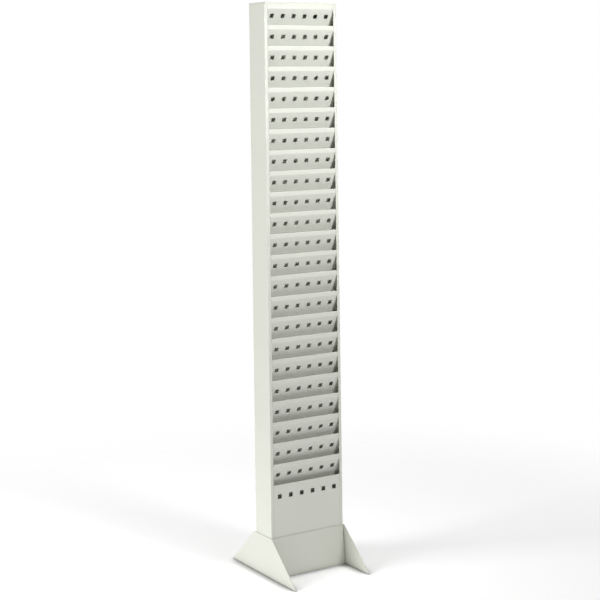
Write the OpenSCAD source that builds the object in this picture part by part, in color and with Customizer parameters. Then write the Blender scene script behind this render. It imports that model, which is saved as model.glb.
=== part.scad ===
// Free-standing library rack for newspapers and magazines: a tall, shallow sheet-steel case
// with sloping perforated pocket panels, standing in a wider sheet-steel base.
// Millimetres. +Z is up, the front faces -Y, and the origin is on the floor below the centre.

/* [Case] */
// Width of the case over its two sides
case_w = 254; // [200:1:400]
// Depth of the case from front face to back
case_d = 90; // [84:1:120]
// Thickness of the case's sheet steel
sheet = 0.9; // [0.8:0.1:1.5]
// Width of the front return flanges of the side panels
front_flange = 10; // [8:0.5:16]
// Width of the rear return flanges of the side panels
rear_flange = 15; // [10:1:25]
// Depth of the rim that turns down around the top cap
cap_rim = 5.2; // [4:0.1:8]

/* [Pockets] */
// Number of pocket panels, the hidden last one included
panel_count = 24; // [4:1:30]
// Height from one pocket panel to the next
pitch = 61.9; // [55:0.1:80]
// Height of the upright lip of each pocket panel
lip_h = 12.7; // [8:0.1:20]
// Slope of the pocket panels from upright
slope = 23; // [18:0.5:24]
// Length of a pocket panel's sloping sheet
slope_l = 196; // [150:1:200]
// Side of one square hole
hole = 12.7; // [6:0.1:16]
// Number of holes across one panel
hole_count = 6; // [3:1:8]
// Distance between the centres of neighbouring holes
hole_step = 38.4; // [20:0.1:38.4]
// Height of the lip's lower edge above the centres of the holes below it
hole_drop = 21.3; // [15:0.1:24]

/* [Base] */
// Height of the base
base_h = 116; // [80:1:160]
// Length of a base leg along the floor
leg_foot = 368; // [300:1:450]
// Length of a base leg's upper edge
leg_top = 101; // [96:1:140]
// Thickness of the base's sheet steel
base_sheet = 1.5; // [1:0.1:2]
// Height above the floor of the shelf that carries the case
shelf_z = 37.8; // [25:0.1:60]
// Gap between the case and each leg
case_gap = 0.5; // [0.3:0.1:2]
// Gap between the case and the upper edge of each base cover
cover_gap = 0.8; // [0.5:0.1:3]
// Distance that a cover's lower edge stands out from its upper edge
cover_lean = 10; // [4:1:20]

/* [Wall holes] */
// Diameter of the round holes for wall screws
wall_hole_d = 6.4; // [4:0.1:8]
// Distance across between the wall holes
wall_hole_x = 152.4; // [100:0.1:180]
// Distance up between the wall holes
wall_hole_z = 1168.4; // [100:0.1:1400]

/* [Hidden] */
panel_names = [for (row = [1 : panel_count]) str("pocket_panel_", row < 10 ? "0" : "", row)];

paint = [0.84, 0.84, 0.81];
cut = 1; // how far a cutting tool runs past what it cuts
fit = 0.2; // side gap that lets one sheet drop in beside another

// Planes of the case
front_y = -case_d / 2;
back_y = case_d / 2;
inner_x = case_w / 2 - sheet;
back_panel_y = back_y - 2 * sheet;
mouth_w = case_w - 2 * front_flange - 2 * fit;

// Heights of the pocket rows: the last row of holes is above the shelf by this much
last_row_rise = 198.7;
function row_z(row) = shelf_z + last_row_rise + (panel_count - row) * pitch;
function lip_z(row) = row_z(row) + hole_drop;

top_row_z = lip_z(1);
rim_z = top_row_z + lip_h + 2.1;
case_top = rim_z + cap_rim;

// The sloping sheet of a pocket panel, the ledge at its foot and the weld flange below that
slope_depth = slope_l * sin(slope);
slope_fall = slope_l * cos(slope);
slope_sheet_y = sheet / cos(slope);
weld_flange = 10;

// The panel widens to the case's inside width this far below its bend, behind the front flanges
shoulder_drop = 5;
shoulder_depth = 5;

pan_flange = 12;
cover_tab = 14;
tab_top = shelf_z - base_sheet - 4;
shelf_flange = 16;
leg_x = case_w / 2 + case_gap;
cover_top_y = case_d / 2 + cover_gap + sheet;
cover_foot_y = cover_top_y + cover_lean;
shelf_y = cover_foot_y - sheet - cover_lean * shelf_z / base_h;

// Extrudes an outline drawn in the YZ plane along X, centred, to the given width
module across(width) {
    rotate([90, 0, 90])
        linear_extrude(height = width, center = true)
            children();
}

// A box given by its low and high corners
module slab(low, high) {
    translate(low)
        cube(high - low);
}

// A row of square holes through a sheet that lies in the XZ plane, centred on the origin
module hole_row(depth) {
    for (i = [0 : hole_count - 1])
        translate([(i - (hole_count - 1) / 2) * hole_step, 0, 0])
            cube([hole, depth, hole], center = true);
}

// A side panel bent into a channel by its front and rear return flanges.
// side is -1 for the left one and 1 for the right one.
module side_panel(side) {
    height = rim_z - shelf_z;
    color(paint)
        mirror([side < 0 ? 0 : 1, 0, 0])
            translate([-case_w / 2, front_y, shelf_z]) {
                cube([sheet, case_d, height]);
                cube([front_flange, sheet, height]);
                translate([0, case_d - sheet, 0])
                    cube([rear_flange, sheet, height]);
            }
}

module back_panel() {
    color(paint)
        difference() {
            slab([-inner_x, back_panel_y, shelf_z], [inner_x, back_panel_y + sheet, rim_z]);
            wall_holes();
        }
}

// The four round holes for fastening the case to a wall
module wall_holes() {
    middle_z = (shelf_z + rim_z) / 2;
    for (x = [-1, 1], z = [-1, 1])
        translate([x * wall_hole_x / 2, back_panel_y - cut, middle_z + z * wall_hole_z / 2])
            rotate([-90, 0, 0])
                cylinder(h = sheet + 2 * cut, d = wall_hole_d, $fn = 48);
}

// A shallow lid whose rim stands on the upper edges of the case's walls
module top_cap() {
    color(paint)
        difference() {
            slab([-case_w / 2, front_y, rim_z], [case_w / 2, back_y, case_top]);
            slab(
                [-inner_x, front_y + sheet, rim_z - cut],
                [inner_x, back_y - sheet, case_top - sheet]
            );
        }
}

// The case's floor, with flanges turned up against the walls
module bottom_pan() {
    pan_front = front_y + sheet;
    color(paint)
        difference() {
            slab([-inner_x, pan_front, shelf_z], [inner_x, back_panel_y, shelf_z + pan_flange]);
            slab(
                [-inner_x + sheet, pan_front + sheet, shelf_z + sheet],
                [inner_x - sheet, back_panel_y - sheet, shelf_z + pan_flange + cut]
            );
        }
}

// The flat panel below the last pocket
module lower_front_panel() {
    last_lip_top = lip_z(panel_count) + lip_h;
    color(paint)
        difference() {
            slab(
                [-mouth_w / 2, front_y, shelf_z],
                [mouth_w / 2, front_y + sheet, last_lip_top]
            );
            translate([0, front_y, row_z(panel_count)])
                hole_row(6 * sheet);
        }
}

// Side view of a pocket panel, from the lip's front face back to the weld flange.
// The upright lip is lip_top high above the bend, and lip_y is the depth of its front face.
module panel_outline(lip_y, lip_top) {
    foot_y = lip_y + slope_depth;
    foot_z = -slope_fall;
    bend_rise = sheet * tan(slope / 2);
    polygon([
        [lip_y, lip_top],
        [lip_y, 0],
        [foot_y, foot_z],
        [back_panel_y - sheet, foot_z],
        [back_panel_y - sheet, foot_z - weld_flange],
        [back_panel_y, foot_z - weld_flange],
        [back_panel_y, foot_z + sheet],
        [foot_y + slope_sheet_y - sheet * tan(slope), foot_z + sheet],
        [lip_y + sheet, bend_rise],
        [lip_y + sheet, lip_top]
    ]);
}

// A pocket panel: the lip stands between the front flanges, and the sloping sheet is as wide
// as the case inside. The last panel is behind the lower front panel, and the first one's lip
// reaches up to the cap.
module pocket_panel(row) {
    is_last = row == panel_count;
    lip_y = is_last ? front_y + sheet : front_y;
    lip_top = row == 1 ? rim_z - top_row_z : lip_h;
    hole_back = hole_drop * tan(slope);
    color(paint)
        translate([0, 0, lip_z(row)])
            difference() {
                across(2 * inner_x)
                    panel_outline(lip_y, lip_top);
                for (side = [0, 1])
                    mirror([side, 0, 0])
                        slab(
                            [mouth_w / 2, lip_y - cut, -shoulder_drop],
                            [case_w / 2, front_y + shoulder_depth, lip_top + cut]
                        );
                translate([0, lip_y + hole_back, -hole_drop])
                    rotate([slope, 0, 0])
                        hole_row(6 * sheet);
            }
}

// A flat leg plate, wider at the floor
module base_leg(side) {
    color(paint)
        translate([side * (leg_x + base_sheet / 2), 0, 0])
            across(base_sheet)
                polygon([
                    [-leg_foot / 2, 0],
                    [leg_foot / 2, 0],
                    [leg_top / 2, base_h],
                    [-leg_top / 2, base_h]
                ]);
}

// A cover that closes the base between the legs and leans out towards the floor, with a tab at
// each end turned back along the leg. facing is -1 for the front cover and 1 for the rear one.
module base_cover(facing) {
    foot = [facing * cover_foot_y, 0];
    head = [facing * cover_top_y, base_h];
    inward = [-facing * sheet, 0];
    tab_head = [facing * (cover_foot_y - cover_lean * tab_top / base_h), tab_top];
    tab_in = [-facing * (sheet + cover_tab), 0];
    color(paint) {
        across(2 * leg_x)
            polygon([foot, head, head + inward, foot + inward]);
        for (side = [-1, 1])
            translate([side * (leg_x - sheet / 2), 0, 0])
                across(sheet)
                    polygon([foot + inward / 2, tab_head + inward / 2, tab_head + tab_in, foot + tab_in]);
    }
}

// The shelf that the case stands on, with flanges turned down along the legs
module base_shelf() {
    flange_y = shelf_y - cover_tab - 3 * sheet;
    color(paint) {
        slab([-leg_x, -shelf_y, shelf_z - base_sheet], [leg_x, shelf_y, shelf_z]);
        for (side = [-1, 1])
            translate([side * (leg_x - base_sheet / 2), 0, shelf_z - (base_sheet + shelf_flange) / 2])
                cube([base_sheet, 2 * flange_y, base_sheet + shelf_flange], center = true);
    }
}

side_panel(-1);  // side_panel_left
side_panel(1);  // side_panel_right
back_panel();
top_cap();
bottom_pan();
lower_front_panel();
for (row = [1 : panel_count])
    pocket_panel(row);
base_leg(-1);  // base_leg_left
base_leg(1);  // base_leg_right
base_cover(-1);  // base_front_cover
base_cover(1);  // base_rear_cover
base_shelf();
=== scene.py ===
"""A tall newspaper rack of powder-coated sheet steel, standing in its base, on a pale studio floor.

Every sheet is one surface worked out with numpy: a flat pattern with its punched holes, bent
along a line of straights and arcs. Solidify gives it the sheet's thickness and Bevel its
rounded cut edges.
"""
import math

import bpy
import numpy as np
from mathutils import Matrix, Vector


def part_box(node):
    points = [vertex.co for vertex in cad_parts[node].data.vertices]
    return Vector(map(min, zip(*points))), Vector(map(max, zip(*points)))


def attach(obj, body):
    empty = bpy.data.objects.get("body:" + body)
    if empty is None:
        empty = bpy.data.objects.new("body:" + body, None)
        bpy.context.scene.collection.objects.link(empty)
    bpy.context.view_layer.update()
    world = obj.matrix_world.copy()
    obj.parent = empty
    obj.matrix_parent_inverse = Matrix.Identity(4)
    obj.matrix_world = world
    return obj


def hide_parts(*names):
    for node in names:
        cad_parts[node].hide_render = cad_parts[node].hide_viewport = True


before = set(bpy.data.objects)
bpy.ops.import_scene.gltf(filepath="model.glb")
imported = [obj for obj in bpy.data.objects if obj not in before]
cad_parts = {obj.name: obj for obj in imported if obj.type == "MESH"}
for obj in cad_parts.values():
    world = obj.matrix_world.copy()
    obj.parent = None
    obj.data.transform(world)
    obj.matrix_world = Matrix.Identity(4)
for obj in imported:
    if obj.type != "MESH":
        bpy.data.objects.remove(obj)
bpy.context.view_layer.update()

MM = 0.001

# Sheet steel
CASE_SHEET = 0.9 * MM
BASE_SHEET = 1.5 * MM
BEND_RADIUS = 1.6 * MM
EDGE_BEVEL = 0.22 * MM
SAFE_EDGE = 1.2 * MM  # width of the row of faces along each cut edge, where the coat wears

# Pocket panels
SLOPE = math.radians(23.0)
SLOPE_LENGTH = 196.0 * MM
WELD_FLANGE = 10.0 * MM
SIDE_FLANGE = 9.0 * MM
HEM_LENGTH = 8.0 * MM
HEM_GAP = 0.15 * MM
SHOULDER_DROP = 5.0 * MM
HOLE_SIDE = 12.7 * MM
HOLE_COUNT = 6
HOLE_STEP = 38.4 * MM
HOLE_DROP = 21.3 * MM  # from the lip's lower edge down to the holes' centres
HOLE_CORNER = 1.0 * MM
HOLE_MARGIN = 2.0 * MM
RIM_STEPS = 6  # faces along one side of a hole
ARC_STEP = math.radians(15.0)

# Wall holes
WALL_HOLE_DIAMETER = 6.4 * MM
WALL_HOLE_ACROSS = 152.4 * MM
WALL_HOLE_UP = 1168.4 * MM

# Case
FRONT_FLANGE = 10.0 * MM
LIP_HEIGHT = 12.7 * MM
SIDE_CLEARANCE = BEND_RADIUS

# Base
LEG_FOOT = 368.0 * MM
LEG_TOP = 101.0 * MM
TIP_RADIUS = 0.8 * MM
TOP_RADIUS = 1.5 * MM
COVER_LEAN = 10.0 * MM
COVER_TAB = 14.0 * MM
SHELF_BEND_RADIUS = 2.0 * MM

# Room, in metres
FLOOR_RADIUS = 2.0
FLOOR_SOLID = 0.5  # the paper starts to thin out here
FLOOR_RINGS = 24
FLOOR_SPOKES = 96
# The paper glows: painted light that whitens the lamps' shadows on it. Near the pieces an
# ambient-occlusion test darkens its colour and glow: a painted contact shadow.
FLOOR_GLOW = 0.23
PAINTED_SHADOW_REACH = 40.0 * MM  # how near a piece shades the paper
PAINTED_SHADOW_OPEN = (0.45, 0.95)  # openness of the sky at the darkest and the clear paper
PAINTED_SHADOW_DARKEST = 0.15
FILL = 0.18
CEILING = 0.60
CEILING_BAND = (0.4, 0.75)  # rise of the direction where the walls turn into the ceiling
# name, place, target, width, height, spread in degrees, watts
SOFTBOXES = [
    ("top_softbox", (0.6, -2.8, 2.2), (0.0, 0.0, 1.75), 0.5, 0.5, 50.0, 1.8),
    ("high_softbox", (0.3, -1.5, 2.6), (0.0, 0.0, 1.4), 0.6, 0.6, 90.0, 3.2),
    ("front_softbox", (0.9, -2.9, 1.9), (0.0, 0.0, 1.30), 0.8, 0.8, 70.0, 8.2),
    ("left_softbox", (-3.4, 0.5, 1.5), (0.0, 0.0, 0.9), 1.6, 2.2, 180.0, 104.0),
]

# Camera
CAMERA_PLACE = (-2.3032, -3.6922, 1.4488)
CAMERA_YAW = 0.5621
CAMERA_PITCH = 0.0012
CAMERA_ROLL = -0.0136
CAMERA_LENS = 86.36
CAMERA_SHIFT_UP = -0.3584

MOUTH_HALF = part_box("lower_front_panel")[1].x
PANEL_NAMES = sorted(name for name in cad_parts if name.startswith("pocket_panel_"))


# ---------------------------------------------------------------- sheet metal

def filleted(corners, radii):
    """A line of straights whose corners are circular arcs.

    At each inner corner the arc's tangent points are radius * tan(half the turn) before and
    after it, and its points turn about the centre by equal angles. Returns the points and
    the distance along the line to each one.
    """
    corners = np.asarray(corners, float)
    points = [corners[:1]]
    for before, corner, after, radius in zip(corners, corners[1:], corners[2:], radii):
        way_in = (corner - before) / np.linalg.norm(corner - before)
        way_out = (after - corner) / np.linalg.norm(after - corner)
        turn = math.atan2(way_in[0] * way_out[1] - way_in[1] * way_out[0], way_in @ way_out)
        reach = radius * math.tan(abs(turn) / 2)
        side = np.array([-way_in[1], way_in[0]]) * math.copysign(1.0, turn)
        centre = corner - way_in * reach + side * radius
        steps = max(2, int(math.ceil(abs(turn) / ARC_STEP)))
        angle = np.linspace(0.0, turn, steps + 1)[:, None]
        spoke = -side * radius
        turned = np.hstack([
            spoke[0] * np.cos(angle) - spoke[1] * np.sin(angle),
            spoke[0] * np.sin(angle) + spoke[1] * np.cos(angle),
        ])
        points.append(centre + turned)
    points.append(corners[-1:])
    points = np.vstack(points)
    along = np.concatenate([[0.0], np.cumsum(np.linalg.norm(np.diff(points, axis=0), axis=1))])
    return points, along


def lines(*groups):
    """Grid lines at every given place, in order, without those that nearly coincide."""
    places = np.sort(np.concatenate([np.atleast_1d(np.asarray(g, float)) for g in groups]))
    keep = np.concatenate([[True], np.diff(places) > 0.02 * MM])
    return places[keep]


def hole_rim(half, corner):
    """The rim of a punched hole about the origin, as RIM_STEPS points a side.

    A square hole's corners are quarter arcs of the given radius, each sampled every 22.5
    degrees, with one point at the middle of each side. With a corner radius of half the
    side, the rim is a circle sampled by equal angles. The first point is at 45 degrees.
    """
    if corner >= half:
        angle = math.radians(45.0) + np.arange(4 * RIM_STEPS) * math.tau / (4 * RIM_STEPS)
        return half * np.stack([np.cos(angle), np.sin(angle)], axis=1)
    side = np.arange(4)[:, None]
    angle = np.radians(45.0 + 90.0 * side + np.array([0.0, 22.5, 45.0, 45.0, 67.5]))
    middle = np.radians(45.0 + 90.0 * (side + np.array([0, 0, 0, 1, 1])))
    offset = math.sqrt(2.0) * (half - corner)
    rim = np.stack([
        offset * np.cos(middle) + corner * np.cos(angle),
        offset * np.sin(middle) + corner * np.sin(angle),
    ], axis=2)
    centre_of_side = (rim[:, 2:3] + rim[:, 3:4]) / 2
    return np.concatenate([rim[:, :3], centre_of_side, rim[:, 3:]], axis=1).reshape(-1, 2)


def square_rim(half):
    """The border of the square tile around a hole, with points that pair with hole_rim's."""
    step = np.arange(RIM_STEPS) / RIM_STEPS
    ones = np.ones(RIM_STEPS)
    sides = [(1 - 2 * step, ones), (-ones, 1 - 2 * step), (2 * step - 1, -ones), (ones, 2 * step - 1)]
    return half * np.concatenate([np.stack(side, axis=1) for side in sides])


def flat_pattern(columns, rows, holes=(), half=0.0, corner=0.0, margin=HOLE_MARGIN, inside=None):
    """A flat sheet as a grid of quads, with punched holes.

    columns and rows are the grid lines. Each hole's centre stands in the middle of a tile
    whose grid cells are swapped for a ring of quads from the tile's border to the hole's
    rim. inside(u, v), if given, says which of the cells' centres belong to the sheet.
    """
    u, v = np.meshgrid(columns, rows)
    index = np.arange(u.size).reshape(u.shape)
    quads = np.stack([index[:-1, :-1], index[:-1, 1:], index[1:, 1:], index[1:, :-1]], axis=2)
    middle_u = (u[:-1, :-1] + u[1:, 1:]) / 2
    middle_v = (v[:-1, :-1] + v[1:, 1:]) / 2
    keep = np.ones(middle_u.shape, bool) if inside is None else inside(middle_u, middle_v)
    reach = half + margin
    points = [np.stack([u.ravel(), v.ravel()], axis=1)]
    faces = []
    count = u.size
    ring = 4 * RIM_STEPS
    near = np.arange(ring)
    after = (near + 1) % ring
    for centre in holes:
        keep &= ~((abs(middle_u - centre[0]) < reach) & (abs(middle_v - centre[1]) < reach))
        points.append(np.vstack([square_rim(reach), hole_rim(half, corner)]) + centre)
        faces.append(count + np.stack([near, after, after + ring, near + ring], axis=1))
        count += 2 * ring
    faces.append(quads[keep])
    return np.vstack(points), [np.vstack(faces)]


def tile_lines(centres, half, margin=HOLE_MARGIN):
    """The grid lines that hole tiles centred on these places need."""
    return (np.asarray(centres)[:, None] + np.linspace(-1, 1, RIM_STEPS + 1) * (half + margin)).ravel()


def weld(points, faces):
    """Merges points that coincide to a hundredth of a millimetre, and drops unused ones.

    faces is a list of arrays, one for each number of corners.
    """
    key = np.round(points / (0.01 * MM)).astype(np.int64)
    _, first, back = np.unique(key, axis=0, return_index=True, return_inverse=True)
    back = back.reshape(-1)
    used, renumbered = np.unique(np.concatenate([back[f].ravel() for f in faces]), return_inverse=True)
    parts = np.split(renumbered.reshape(-1), np.cumsum([f.size for f in faces])[:-1])
    return points[first[used]], [part.reshape(f.shape) for part, f in zip(parts, faces)]


def rim_wear(count, faces):
    """1 at the points on an open edge of the sheet and 0 elsewhere: where the coat wears."""
    edges = np.vstack([np.stack([f, np.roll(f, -1, axis=1)], axis=2).reshape(-1, 2) for f in faces])
    pairs, times = np.unique(np.sort(edges, axis=1), axis=0, return_counts=True)
    wear = np.zeros(count, np.float32)
    wear[pairs[times == 1].ravel()] = 1.0
    return wear


def area_vector(points, faces):
    """The sum of the faces' areas as vectors: half of the cross products of their diagonals."""
    total = np.zeros(3)
    for f in faces:
        corners = points[f]
        total += np.cross(corners, np.roll(corners, -1, axis=1)).sum(axis=(0, 1)) / 2
    return total


def make_sheet(name, body, material, points, faces, thickness, outward):
    """One sheet-metal piece from its middle surface, riding on its body.

    Its faces are turned to look along outward, on the whole, and Solidify then puts half of
    the thickness on each side of the surface.
    """
    points, faces = weld(points, faces)
    if area_vector(points, faces) @ np.asarray(outward, float) < 0:
        faces = [f[:, ::-1] for f in faces]
    mesh = bpy.data.meshes.new(name)
    mesh.from_pydata(points.tolist(), [], [face for f in faces for face in f.tolist()])
    wear = mesh.attributes.new("wear", "FLOAT", "POINT")
    wear.data.foreach_set("value", rim_wear(len(points), faces))
    mesh.polygons.foreach_set("use_smooth", np.ones(len(mesh.polygons), bool))
    mesh.materials.append(material)
    mesh.update()
    piece = bpy.data.objects.new(name, mesh)
    bpy.context.scene.collection.objects.link(piece)
    solid = piece.modifiers.new("thickness", "SOLIDIFY")
    solid.thickness = thickness
    solid.offset = 0.0
    solid.use_even_offset = True
    bevel = piece.modifiers.new("cut edges", "BEVEL")
    bevel.width = EDGE_BEVEL
    bevel.segments = 2
    bevel.limit_method = "ANGLE"
    bevel.angle_limit = math.radians(50.0)
    bevel.harden_normals = True
    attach(piece, body)
    return piece


def bent_sheet(pattern, path, along, lengthwise):
    """Bends a flat pattern: its second coordinate runs along the path, its first along lengthwise.

    lengthwise is "x" for a path in the YZ plane and "z" for one in the XY plane. Straight
    stretches stay exact because the path has a point at both ends of each.
    """
    first = np.interp(pattern[:, 1], along, path[:, 0])
    second = np.interp(pattern[:, 1], along, path[:, 1])
    if lengthwise == "x":
        return np.stack([pattern[:, 0], first, second], axis=1)
    return np.stack([first, second, pattern[:, 0]], axis=1)


# ---------------------------------------------------------------- materials

def linear(code):
    """An sRGB hex colour as linear RGBA."""
    parts = np.array([int(code[i:i + 2], 16) / 255 for i in (1, 3, 5)])
    value = np.where(parts <= 0.04045, parts / 12.92, ((parts + 0.055) / 1.055) ** 2.4)
    return (*value.tolist(), 1.0)


def add_node(tree, kind, settings=(), inputs=(), links=()):
    """Adds a node, sets its properties and input values, and links outputs to its inputs."""
    made = tree.nodes.new(kind)
    for key, value in dict(settings).items():
        setattr(made, key, value)
    for key, value in dict(inputs).items():
        made.inputs[key].default_value = value
    for key, output in dict(links).items():
        tree.links.new(output, made.inputs[key])
    return made


def powder_coat(name, colour, thin_colour):
    """Satin polyester powder coat on steel: sprayed as powder and baked.

    The melt leaves a soft orange peel, a fine grain and a faint unevenness of tone, and it
    draws back from cut edges, where it is thinner, a little darker and rubbed.
    """
    material = bpy.data.materials.new(name)
    material.use_nodes = True
    tree = material.node_tree
    shader = tree.nodes["Principled BSDF"]
    shader.inputs["Metallic"].default_value = 0.0
    shader.inputs["IOR"].default_value = 1.5
    place = add_node(tree, "ShaderNodeTexCoord").outputs["Object"]

    def noise(size_mm, detail, roughness=0.5):
        return add_node(
            tree, "ShaderNodeTexNoise", inputs={
                "Scale": 1.0 / (size_mm * MM), "Detail": detail, "Roughness": roughness,
            }, links={"Vector": place},
        ).outputs["Fac"]

    tone = noise(180.0, 2.0)
    grain = noise(0.6, 1.0)
    peel = noise(2.4, 2.0)
    rub = noise(7.0, 3.0, 0.6)
    wear = add_node(tree, "ShaderNodeAttribute", {"attribute_name": "wear"}).outputs["Fac"]

    dark, light = [tuple(c * k for c in linear(colour)[:3]) + (1.0,) for k in (0.965, 1.02)]
    body_colour = add_node(
        tree, "ShaderNodeMix", {"data_type": "RGBA"}, {"A": dark, "B": light}, {"Factor": tone},
    ).outputs["Result"]
    worn = add_node(
        tree, "ShaderNodeMath", {"operation": "MULTIPLY"}, links={0: wear, 1: rub},
    ).outputs["Value"]
    colour_out = add_node(
        tree, "ShaderNodeMix", {"data_type": "RGBA"}, {"B": linear(thin_colour)},
        {"Factor": worn, "A": body_colour},
    ).outputs["Result"]
    tree.links.new(colour_out, shader.inputs["Base Color"])

    gloss = add_node(
        tree, "ShaderNodeMapRange", inputs={"To Min": 0.40, "To Max": 0.52}, links={"Value": rub},
    ).outputs["Result"]
    tree.links.new(gloss, shader.inputs["Roughness"])

    peel_bump = add_node(
        tree, "ShaderNodeBump", inputs={"Strength": 0.35, "Distance": 0.06 * MM},
        links={"Height": peel},
    ).outputs["Normal"]
    grain_bump = add_node(
        tree, "ShaderNodeBump", inputs={"Strength": 0.25, "Distance": 0.02 * MM},
        links={"Height": grain, "Normal": peel_bump},
    ).outputs["Normal"]
    tree.links.new(grain_bump, shader.inputs["Normal"])
    return material


# Two runs of the same warm light grey: the case and the base are coated apart
CASE_PAINT = powder_coat("case_powder_coat", "#D2D4CA", "#B3B5AB")
BASE_PAINT = powder_coat("base_powder_coat", "#D1D2C8", "#B2B3A9")


def case_sheet(name, points, faces, outward):
    """A piece of the case, which stands for the CAD node of the same name."""
    piece = make_sheet(
        name + "_sheet", "rack", CASE_PAINT, points, faces, CASE_SHEET, outward)
    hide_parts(name)
    return piece


def base_sheet(name, points, faces, outward, thickness):
    """A piece of the base, which stands for the CAD node of the same name."""
    piece = make_sheet(
        name + "_sheet", "base", BASE_PAINT, points, faces, thickness, outward)
    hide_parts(name)
    return piece


# ---------------------------------------------------------------- the case

def hole_places():
    """The places across of the square holes in one row."""
    return (np.arange(HOLE_COUNT) - (HOLE_COUNT - 1) / 2) * HOLE_STEP


def side_panel(name):
    """A channel: front return flange, bend, side, bend, rear return flange."""
    low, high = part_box(name)
    half = CASE_SHEET / 2
    side = -1.0 if low.x < 0 else 1.0
    outer_x = side * (max(abs(low.x), abs(high.x)) - half)
    front, rear = low.y + half, high.y - half
    front_tip = side * (max(abs(low.x), abs(high.x)) - FRONT_FLANGE)
    rear_tip = low.x if side > 0 else high.x
    path, along = filleted(
        [(front_tip, front), (outer_x, front), (outer_x, rear), (rear_tip, rear)],
        [BEND_RADIUS] * 2,
    )
    ends = [along[0] + SAFE_EDGE, along[-1] - SAFE_EDGE]
    heights = lines(
        [low.z, low.z + SAFE_EDGE, high.z - SAFE_EDGE, high.z], np.linspace(low.z, high.z, 25))
    pattern, faces = flat_pattern(heights, lines(along, ends))
    case_sheet(name, bent_sheet(pattern, path, along, "z"), faces, (side, -0.2, 0))


def pocket_panel(name):
    """A bent pocket panel.

    Its line runs from the free end of the hem behind the lip, over the lip's folded top,
    down the lip, down and back along the sloping sheet, level along the ledge and down the
    weld flange. Side flanges turn back from the sloping sheet along the case's sides.
    """
    low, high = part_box(name)
    half = CASE_SHEET / 2
    front = low.y + half
    rear = high.y - half
    bend_z = low.z + WELD_FLANGE + SLOPE_LENGTH * math.cos(SLOPE)
    foot_y = low.y + SLOPE_LENGTH * math.sin(SLOPE)
    foot_z = low.z + WELD_FLANGE
    hem_y = front + CASE_SHEET + HEM_GAP
    top = high.z - half
    corners = [
        (hem_y, top - HEM_LENGTH),
        (hem_y, top),
        (front, top),
        (front, bend_z + half * math.tan(SLOPE / 2)),
        (foot_y + half * (1 / math.cos(SLOPE) - math.tan(SLOPE)), foot_z + half),
        (rear, foot_z + half),
        (rear, low.z),
    ]
    hem_radius = (CASE_SHEET + HEM_GAP) / 2 - 0.001 * MM
    path, along = filleted(corners, [hem_radius, hem_radius, BEND_RADIUS, BEND_RADIUS, BEND_RADIUS])
    slope_start = np.interp(-(bend_z - SHOULDER_DROP), -path[:, 1][along > 2 * HEM_LENGTH],
                            along[along > 2 * HEM_LENGTH])
    hole_at = np.interp(-(bend_z - HOLE_DROP), -path[:, 1][along > 2 * HEM_LENGTH],
                        along[along > 2 * HEM_LENGTH])
    inner = high.x - SIDE_CLEARANCE
    mouth = MOUTH_HALF
    radius = HOLE_SIDE / 2
    places = hole_places()
    columns = lines(
        [-inner, -inner + SAFE_EDGE, -mouth, -mouth + SAFE_EDGE, mouth - SAFE_EDGE, mouth,
         inner - SAFE_EDGE, inner],
        tile_lines(places, radius),
    )
    flange_from = hole_at + radius + 2 * HOLE_MARGIN
    flange_to = along[-1] - WELD_FLANGE - (rear - foot_y) - 2 * SIDE_FLANGE
    rows = lines(
        along, [along[0] + SAFE_EDGE, along[-1] - SAFE_EDGE, slope_start, slope_start + SAFE_EDGE,
                flange_from, flange_from + SAFE_EDGE, flange_to - SAFE_EDGE, flange_to],
        tile_lines([hole_at], radius),
    )
    pattern, faces = flat_pattern(
        columns, rows, [(x, hole_at) for x in places], radius, HOLE_CORNER,
        inside=lambda u, v: (abs(u) < mouth) | (v > slope_start),
    )
    points = bent_sheet(pattern, path, along, "x")

    flange_rows = rows[(rows >= flange_from - 1e-9) & (rows <= flange_to + 1e-9)]
    turn = BEND_RADIUS - half
    line, flange_along = filleted([(0, 0), (turn, 0), (turn, SIDE_FLANGE)], [turn])
    out = np.interp(lines(flange_along, [flange_along[-1] - SAFE_EDGE]), flange_along, line[:, 0])
    back = np.interp(lines(flange_along, [flange_along[-1] - SAFE_EDGE]), flange_along, line[:, 1])
    for side in (-1.0, 1.0):
        steps, at = np.meshgrid(np.arange(len(out)), flange_rows)
        y = np.interp(at, along, path[:, 0]) + back[steps] * math.cos(SLOPE)
        z = np.interp(at, along, path[:, 1]) + back[steps] * math.sin(SLOPE)
        x = side * (inner + out[steps])
        index = np.arange(x.size).reshape(x.shape)
        quads = np.stack([index[:-1, :-1], index[:-1, 1:], index[1:, 1:], index[1:, :-1]], axis=2)
        quads = quads.reshape(-1, 4)
        if side < 0:
            quads = quads[:, ::-1]
        faces.append(quads + len(points))
        points = np.vstack([points, np.stack([x.ravel(), y.ravel(), z.ravel()], axis=1)])
    case_sheet(name, points, faces, (0, 1, 0))


def lower_front_panel(name):
    """A flat panel with a hemmed top edge and one row of square holes."""
    low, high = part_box(name)
    half = CASE_SHEET / 2
    front = low.y + half
    hem_y = front + CASE_SHEET + HEM_GAP
    top = high.z - half
    hem_radius = (CASE_SHEET + HEM_GAP) / 2 - 0.001 * MM
    path, along = filleted(
        [(hem_y, top - HEM_LENGTH), (hem_y, top), (front, top), (front, low.z)], [hem_radius] * 2)
    hole_z = high.z - LIP_HEIGHT - HOLE_DROP
    hole_at = along[-1] - (hole_z - low.z)
    places = hole_places()
    columns = lines(
        [-high.x, -high.x + SAFE_EDGE, high.x - SAFE_EDGE, high.x],
        tile_lines(places, HOLE_SIDE / 2),
    )
    rows = lines(
        along, [along[0] + SAFE_EDGE, along[-1] - SAFE_EDGE], tile_lines([hole_at], HOLE_SIDE / 2),
        np.linspace(hole_at + 30 * MM, along[-1] - 20 * MM, 4),
    )
    pattern, faces = flat_pattern(
        columns, rows, [(x, hole_at) for x in places], HOLE_SIDE / 2, HOLE_CORNER)
    case_sheet(name, bent_sheet(pattern, path, along, "x"), faces, (0, -1, 0))


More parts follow.
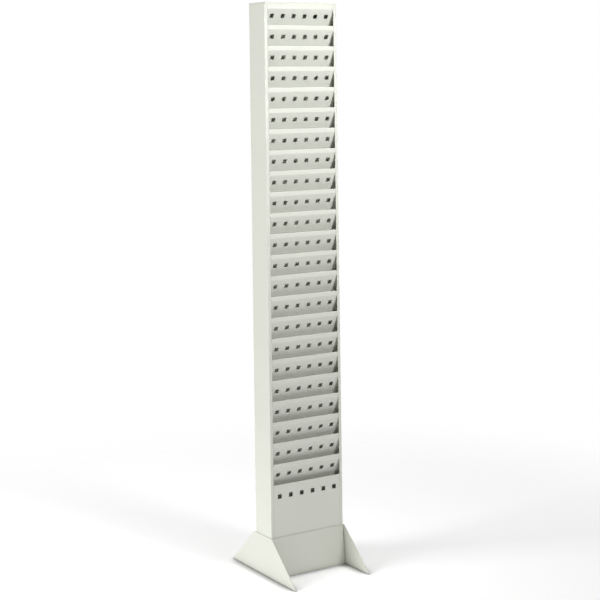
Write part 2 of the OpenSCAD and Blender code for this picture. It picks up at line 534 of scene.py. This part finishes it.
def back_panel(name):
    """A flat sheet with four round wall holes."""
    low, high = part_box(name)
    middle = (low + high) / 2
    radius = WALL_HOLE_DIAMETER / 2
    across = np.array([-1, 1]) * WALL_HOLE_ACROSS / 2
    up = middle.z + np.array([-1, 1]) * WALL_HOLE_UP / 2
    columns = lines(
        [low.x, low.x + SAFE_EDGE, high.x - SAFE_EDGE, high.x], tile_lines(across, radius))
    rows = lines(
        [low.z, low.z + SAFE_EDGE, high.z - SAFE_EDGE, high.z], tile_lines(up, radius),
        np.linspace(low.z, high.z, 12)[1:-1],
    )
    pattern, faces = flat_pattern(columns, rows, [(x, z) for x in across for z in up], radius, radius)
    points = np.stack([pattern[:, 0], np.full(len(pattern), middle.y), pattern[:, 1]], axis=1)
    case_sheet(name, points, faces, (0, 1, 0))


def flange_line(half_width, depth, radius):
    """Half of a pan's section, from the middle of its floor out and round into its flange.

    Gives the distance out and the height above the floor, and the distance along the line.
    """
    line, along = filleted([(0.0, 0.0), (half_width, 0.0), (half_width, depth)], [radius])
    return line[:, 0], line[:, 1], along


def folded_pan(name, up):
    """A rectangular sheet whose four borders are folded by a right angle, with open corners.

    A point of the flat pattern goes out along X and Y by its two coordinates' lines, and its
    height is the sum of what the two folds add. The corners, which both would fold, are cut
    away.
    """
    low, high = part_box(name)
    half = CASE_SHEET / 2
    radius = BEND_RADIUS - half
    floor_z = low.z + half if up > 0 else high.z - half
    depth = high.z - low.z
    middle_y = (low.y + high.y) / 2
    out_x, rise_x, along_x = flange_line(high.x - half, depth - half, radius)
    out_y, rise_y, along_y = flange_line((high.y - low.y) / 2 - half, depth - half, radius)
    ends = [np.array([along[-1] - SAFE_EDGE]) for along in (along_x, along_y)]
    flat = [along[-1] - depth + half - 0.3 * radius for along in (along_x, along_y)]
    columns, rows = [
        lines(-along, along, -end, end, [-limit, limit], [-limit - SAFE_EDGE, limit + SAFE_EDGE])
        for along, end, limit in zip((along_x, along_y), ends, flat)
    ]
    pattern, faces = flat_pattern(
        columns, rows, inside=lambda u, v: (abs(u) < flat[0]) | (abs(v) < flat[1]))
    u, v = pattern[:, 0], pattern[:, 1]
    points = np.stack([
        np.sign(u) * np.interp(abs(u), along_x, out_x),
        middle_y + np.sign(v) * np.interp(abs(v), along_y, out_y),
        floor_z + up * (np.interp(abs(u), along_x, rise_x) + np.interp(abs(v), along_y, rise_y)),
    ], axis=1)
    case_sheet(name, points, faces, (0, 0, -up))


# ---------------------------------------------------------------- the base

def base_leg(name):
    """A flat plate with four rounded corners.

    Its outline is a trapezoid whose corners are arcs. A narrow ring of quads follows the
    edge, and one flat face fills the rest.
    """
    low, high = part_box(name)
    middle_x = (low.x + high.x) / 2
    top_y = high.y * LEG_TOP / LEG_FOOT
    corners = np.array([
        (0.0, low.z), (high.y, low.z), (top_y, high.z), (-top_y, high.z), (-high.y, low.z), (0.0, low.z),
    ])
    outline, _ = filleted(corners, [TIP_RADIUS, TOP_RADIUS, TOP_RADIUS, TIP_RADIUS])
    outline = outline[:-1]
    ways_in = outline - np.roll(outline, 1, axis=0)
    ways_out = np.roll(outline, -1, axis=0) - outline
    way = sum(edge / np.linalg.norm(edge, axis=1)[:, None] for edge in (ways_in, ways_out))
    way /= np.linalg.norm(way, axis=1)[:, None]
    inner = outline + SAFE_EDGE * np.stack([-way[:, 1], way[:, 0]], axis=1)
    count = len(outline)
    near = np.arange(count)
    after = (near + 1) % count
    flat = np.vstack([outline, inner])
    points = np.stack([np.full(2 * count, middle_x), flat[:, 0], flat[:, 1]], axis=1)
    ring = np.stack([near, after, after + count, near + count], axis=1)
    base_sheet(name, points, [ring, (near + count)[None, :]], (math.copysign(1, low.x), 0, 0), BASE_SHEET)


def base_cover(name, facing):
    """A sheet that leans out to the floor, with tabs at its ends bent back along the legs.

    The flat pattern's first coordinate runs across the sheet and round both tabs, and its
    second runs up the slope. The tabs reach up to just below the shelf; above them the sheet
    ends a bend's radius short of the legs.
    """
    low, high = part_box(name)
    half = CASE_SHEET / 2
    radius = BEND_RADIUS - half
    foot = facing * (max(abs(low.y), abs(high.y)) - half)
    head = foot - facing * COVER_LEAN
    lean = math.atan2(COVER_LEAN, high.z)
    out, back, along = flange_line(high.x - half, COVER_TAB, radius)
    flat = high.x - BEND_RADIUS
    tab_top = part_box("base_shelf")[0].z
    up_slope = high.z / math.cos(lean)
    columns = lines(-along, along, [-flat + SAFE_EDGE, flat - SAFE_EDGE],
                    [-along[-1] + SAFE_EDGE, along[-1] - SAFE_EDGE])
    rows = lines([0.0, SAFE_EDGE, tab_top - SAFE_EDGE, tab_top, up_slope - SAFE_EDGE, up_slope],
                 np.linspace(tab_top, up_slope, 6))
    pattern, faces = flat_pattern(
        columns, rows, inside=lambda u, v: (abs(u) < flat) | (v < tab_top))
    u, v = pattern[:, 0], pattern[:, 1]
    behind = np.interp(abs(u), along, back)
    points = np.stack([
        np.sign(u) * np.interp(abs(u), along, out),
        foot + (head - foot) * v / up_slope - facing * behind,
        v * math.cos(lean),
    ], axis=1)
    base_sheet(name, points, faces, (0, facing, 0), CASE_SHEET)


def base_shelf(name):
    """The shelf under the case: its two ends turn down along the legs over part of its depth."""
    low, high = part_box(name)
    half = BASE_SHEET / 2
    radius = SHELF_BEND_RADIUS - half
    out, fall, along = flange_line(high.x - half, high.z - low.z - half, radius)
    flat = high.x - half - radius
    depth = high.y - COVER_TAB - 4 * CASE_SHEET
    columns = lines(-along, along, [-flat + SAFE_EDGE, flat - SAFE_EDGE],
                    [-along[-1] + SAFE_EDGE, along[-1] - SAFE_EDGE])
    rows = lines([low.y, low.y + SAFE_EDGE, -depth, -depth + SAFE_EDGE],
                 [high.y, high.y - SAFE_EDGE, depth, depth - SAFE_EDGE])
    pattern, faces = flat_pattern(
        columns, rows, inside=lambda u, v: (abs(u) < flat) | (abs(v) < depth))
    u, v = pattern[:, 0], pattern[:, 1]
    points = np.stack([
        np.sign(u) * np.interp(abs(u), along, out), v, high.z - half - np.interp(abs(u), along, fall),
    ], axis=1)
    base_sheet(name, points, faces, (0, 0, 1), BASE_SHEET)


# ---------------------------------------------------------------- the room

def paper_floor():
    """A round sheet of white paper that thins out to nothing away from the rack.

    It is a disc in polar form: the radius grows as the square of the ring's number, and the
    last ring is clear, so the paper fades into the white room. Its colour and its glow darken
    near the pieces by an ambient-occlusion test: a painted contact shadow. The glow is painted
    light, which whitens the lamps' shadows on the paper.
    """
    angles = np.arange(FLOOR_SPOKES) * math.tau / FLOOR_SPOKES
    rings, spokes = np.meshgrid(np.linspace(0.02, 1.0, FLOOR_RINGS) ** 2, angles)
    rings = rings * FLOOR_RADIUS
    points = np.stack([rings * np.cos(spokes), rings * np.sin(spokes), 0 * rings], axis=2)
    index = np.arange(rings.size).reshape(rings.shape)
    turned = np.roll(index, -1, axis=0)
    quads = np.stack([index[:, :-1], index[:, 1:], turned[:, 1:], turned[:, :-1]], axis=2)
    mesh = bpy.data.meshes.new("paper_floor")
    centre = index[:, 0].tolist()
    mesh.from_pydata(
        points.reshape(-1, 3).tolist(), [], quads.reshape(-1, 4).tolist() + [centre])
    floor = bpy.data.objects.new("paper_floor", mesh)
    bpy.context.scene.collection.objects.link(floor)

    material = bpy.data.materials.new("white_paper_painted_shadow_and_glow")
    material.use_nodes = True
    tree = material.node_tree
    shader = tree.nodes["Principled BSDF"]
    shader.inputs["Roughness"].default_value = 1.0
    shader.inputs["Specular IOR Level"].default_value = 0.0
    shader.inputs["Emission Color"].default_value = linear("#FFFFFF")
    # Painted contact shadow: ambient occlusion darkens the paper's colour and glow near the pieces.
    open_sky = add_node(
        tree, "ShaderNodeAmbientOcclusion", {"samples": 8}, {"Distance": PAINTED_SHADOW_REACH},
    ).outputs["AO"]
    clear = add_node(
        tree, "ShaderNodeMapRange", inputs={
            "From Min": PAINTED_SHADOW_OPEN[0], "From Max": PAINTED_SHADOW_OPEN[1],
            "To Min": PAINTED_SHADOW_DARKEST, "To Max": 1.0,
        }, links={"Value": open_sky},
    ).outputs["Result"]
    tone = add_node(
        tree, "ShaderNodeMix", {"data_type": "RGBA"},
        {"A": linear("#000000"), "B": linear("#F8F8F8")}, {"Factor": clear},
    ).outputs["Result"]
    # The paper's glow is painted light, dimmed by the same painted contact shadow.
    glow = add_node(
        tree, "ShaderNodeMath", {"operation": "MULTIPLY"}, {1: FLOOR_GLOW}, {0: clear},
    ).outputs["Value"]
    tree.links.new(tone, shader.inputs["Base Color"])
    tree.links.new(glow, shader.inputs["Emission Strength"])
    place = add_node(tree, "ShaderNodeTexCoord").outputs["Object"]
    distance = add_node(
        tree, "ShaderNodeVectorMath", {"operation": "LENGTH"}, links={0: place},
    ).outputs["Value"]
    cover = add_node(
        tree, "ShaderNodeMapRange", {"interpolation_type": "SMOOTHSTEP"}, {
            "From Min": FLOOR_SOLID, "From Max": FLOOR_RADIUS, "To Min": 1.0, "To Max": 0.0,
        }, {"Value": distance},
    ).outputs["Result"]
    tree.links.new(cover, shader.inputs["Alpha"])
    mesh.materials.append(material)


def white_room():
    """A room that looks white, and that lights the rack with a weak, even fill."""
    world = bpy.data.worlds.new("white_room")
    world.use_nodes = True
    tree = world.node_tree
    fill = tree.nodes["Background"]
    fill.inputs["Color"].default_value = linear("#FFFFFF")
    way = add_node(tree, "ShaderNodeTexCoord").outputs["Generated"]
    rise = add_node(tree, "ShaderNodeSeparateXYZ", links={0: way}).outputs["Z"]
    strength = add_node(
        tree, "ShaderNodeMapRange", {"interpolation_type": "SMOOTHSTEP"}, {
            "From Min": CEILING_BAND[0], "From Max": CEILING_BAND[1], "To Min": FILL, "To Max": CEILING,
        }, {"Value": rise},
    ).outputs["Result"]
    tree.links.new(strength, fill.inputs["Strength"])
    white = add_node(
        tree, "ShaderNodeBackground", inputs={"Color": linear("#FFFFFF"), "Strength": 1.0})
    seen = add_node(tree, "ShaderNodeLightPath").outputs["Is Camera Ray"]
    mix = add_node(tree, "ShaderNodeMixShader", links={"Fac": seen})
    tree.links.new(fill.outputs[0], mix.inputs[1])
    tree.links.new(white.outputs[0], mix.inputs[2])
    tree.links.new(mix.outputs[0], tree.nodes["World Output"].inputs["Surface"])
    bpy.context.scene.world = world


def softboxes():
    """Area lights, each turned to face its target. A narrow spread is a grid on the softbox."""
    for name, place, target, width, height, spread, power in SOFTBOXES:
        light = bpy.data.lights.new(name, "AREA")
        light.shape = "RECTANGLE"
        light.size = width
        light.size_y = height
        light.energy = power
        light.spread = math.radians(spread)
        lamp = bpy.data.objects.new(name, light)
        lamp.location = place
        lamp.rotation_euler = (Vector(target) - Vector(place)).to_track_quat("-Z", "Y").to_euler()
        bpy.context.scene.collection.objects.link(lamp)


def camera():
    """A level camera to the front left, at eye height, with a falling front to take in the foot."""
    yaw, pitch, roll = CAMERA_YAW, CAMERA_PITCH, CAMERA_ROLL
    forward = Vector((math.sin(yaw), math.cos(yaw), math.tan(pitch))).normalized()
    level = Vector((math.cos(yaw), -math.sin(yaw), 0.0))
    upright = level.cross(forward)
    right = level * math.cos(roll) + upright * math.sin(roll)
    up = upright * math.cos(roll) - level * math.sin(roll)
    data = bpy.data.cameras.new("camera")
    data.sensor_width = 36.0
    data.lens = CAMERA_LENS
    data.shift_y = CAMERA_SHIFT_UP
    data.dof.use_dof = False
    eye = bpy.data.objects.new("camera", data)
    columns = Matrix((right, up, -forward)).transposed().to_4x4()
    eye.matrix_world = Matrix.Translation(CAMERA_PLACE) @ columns
    bpy.context.scene.collection.objects.link(eye)
    bpy.context.scene.camera = eye


camera()
paper_floor()
white_room()
softboxes()
bpy.context.scene.view_settings.view_transform = "Standard"
for side_name in ("side_panel_left", "side_panel_right"):
    side_panel(side_name)
for panel_name in PANEL_NAMES:
    pocket_panel(panel_name)
lower_front_panel("lower_front_panel")
back_panel("back_panel")
folded_pan("top_cap", -1.0)
folded_pan("bottom_pan", 1.0)
base_leg("base_leg_left")
base_leg("base_leg_right")
base_cover("base_front_cover", -1.0)
base_cover("base_rear_cover", 1.0)
base_shelf("base_shelf")
